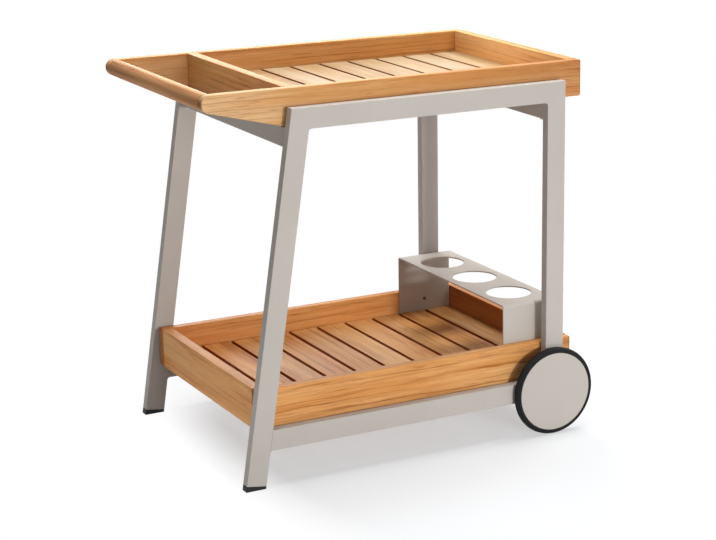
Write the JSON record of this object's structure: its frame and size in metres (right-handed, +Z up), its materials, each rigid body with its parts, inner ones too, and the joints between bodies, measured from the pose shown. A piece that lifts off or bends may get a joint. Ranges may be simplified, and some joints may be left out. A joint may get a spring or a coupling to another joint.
{
  "type": "serving cart",
  "caption": "Outdoor serving cart: slatted wooden trays in metal side frames, a handle bar at one end, wheels and a bottle rack at the other.",
  "frame": {"origin": "on the floor, under the middle of the cart's bounding box", "axes": "+X along the cart from the handle to the wheels, +Y across it to the far side in the picture, +Z up"},
  "size_m": [0.9326, 0.6482, 0.86],
  "materials": {
    "teak": "oiled, fine open grain",
    "frame_powder_coat": "matt greige powder coat over the tube",
    "rack_powder_coat": "matt greige powder coat over the sheet",
    "tyre_rubber": "matt black",
    "wheel_core_plastic": "moulded",
    "wheel_cover_plastic": "matt, to match the frame",
    "bush_plastic": "plain nylon",
    "foot_plastic": "moulded",
    "stainless_steel": "plain"
  },
  "bodies": {
    "cart": {"axle_bolts": "stainless_steel", "axle_nuts": "stainless_steel", "axle_spacers": "stainless_steel", "bottle_rack": "rack_powder_coat", "corner_dowels": "teak", "far_foot": "foot_plastic", "far_lower_rail": "frame_powder_coat", "far_slanted_leg": "frame_powder_coat", "far_top_rail": "frame_powder_coat", "far_upright_leg": "frame_powder_coat", "handle_bar": "teak", "handle_end_bearer": "frame_powder_coat", "handle_end_cross_rail": "frame_powder_coat", "lower_far_side_board": "teak", "lower_handle_end_board": "teak", "lower_ledgers": "teak", "lower_near_side_board": "teak", "lower_slat_1": "teak", "lower_slat_10": "teak", "lower_slat_2": "teak", "lower_slat_3": "teak", "lower_slat_4": "teak", "lower_slat_5": "teak", "lower_slat_6": "teak", "lower_slat_7": "teak", "lower_slat_8": "teak", "lower_slat_9": "teak", "lower_wheel_end_board": "teak", "near_foot": "foot_plastic", "near_lower_rail": "frame_powder_coat", "near_slanted_leg": "frame_powder_coat", "near_top_rail": "frame_powder_coat", "near_upright_leg": "frame_powder_coat", "rack_screws": "stainless_steel", "slat_screws": "stainless_steel", "top_divider": "teak", "top_end_board": "teak", "top_far_side_board": "teak", "top_ledgers": "teak", "top_near_side_board": "teak", "top_slat_1": "teak", "top_slat_2": "teak", "top_slat_3": "teak", "top_slat_4": "teak", "top_slat_5": "teak", "top_slat_6": "teak", "top_slat_7": "teak", "top_slat_8": "teak", "top_slat_9": "teak", "tray_bolts": "stainless_steel", "wheel_end_bearer": "frame_powder_coat", "wheel_end_cross_rail": "frame_powder_coat"},
    "near_wheel": {"near_tyre": "tyre_rubber", "near_wheel_core": "wheel_core_plastic", "near_wheel_cover": "wheel_cover_plastic", "near_wheel_bushes": "bush_plastic"},
    "far_wheel": {"far_tyre": "tyre_rubber", "far_wheel_core": "wheel_core_plastic", "far_wheel_cover": "wheel_cover_plastic", "far_wheel_bushes": "bush_plastic"}
  },
  "joints": [
    {"name": "near_wheel_spin", "type": "hinge", "parent": "cart", "child": "near_wheel", "pos_m": [0.36325, -0.3113, 0.103], "axis": [0, 1, 0], "continuous": true},
    {"name": "far_wheel_spin", "type": "hinge", "parent": "cart", "child": "far_wheel", "pos_m": [0.36325, 0.3113, 0.103], "axis": [0, 1, 0], "continuous": true}
  ]
}
